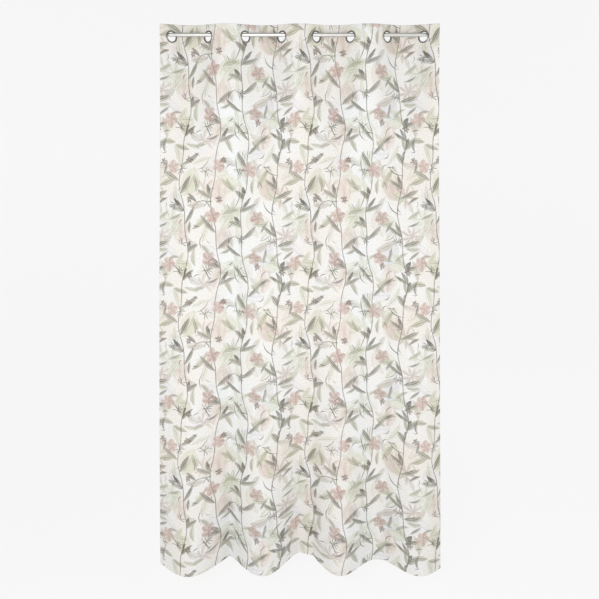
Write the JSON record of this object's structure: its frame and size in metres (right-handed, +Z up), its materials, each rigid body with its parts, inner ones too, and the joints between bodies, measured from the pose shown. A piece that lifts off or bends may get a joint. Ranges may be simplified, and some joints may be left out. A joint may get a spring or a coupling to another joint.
{
  "type": "eyelet window curtain on a rod",
  "caption": "Printed eyelet window curtain spread on a plain round rod and hanging in soft upright folds to a scalloped hem.",
  "frame": {"origin": "middle of the rod's axis", "axes": "+X along the rod to the right as seen from the front, -Y to the front where the printed face looks, +Z up"},
  "size_m": [1.3407, 0.1585, 2.509],
  "materials": {
    "cloth": "matt woven cloth with a soft printed leaf and blossom pattern in grey-green, beige and dusty pink on off-white",
    "eyelet": "satin pressed steel",
    "rod": "pale satin steel tube"
  },
  "bodies": {
    "root": {"rod": "rod", "heading": "cloth", "panel": "cloth", "eyelet_1": "eyelet", "eyelet_2": "eyelet", "eyelet_3": "eyelet", "eyelet_4": "eyelet", "eyelet_5": "eyelet", "eyelet_6": "eyelet", "eyelet_7": "eyelet", "eyelet_8": "eyelet"}
  },
  "joints": []
}
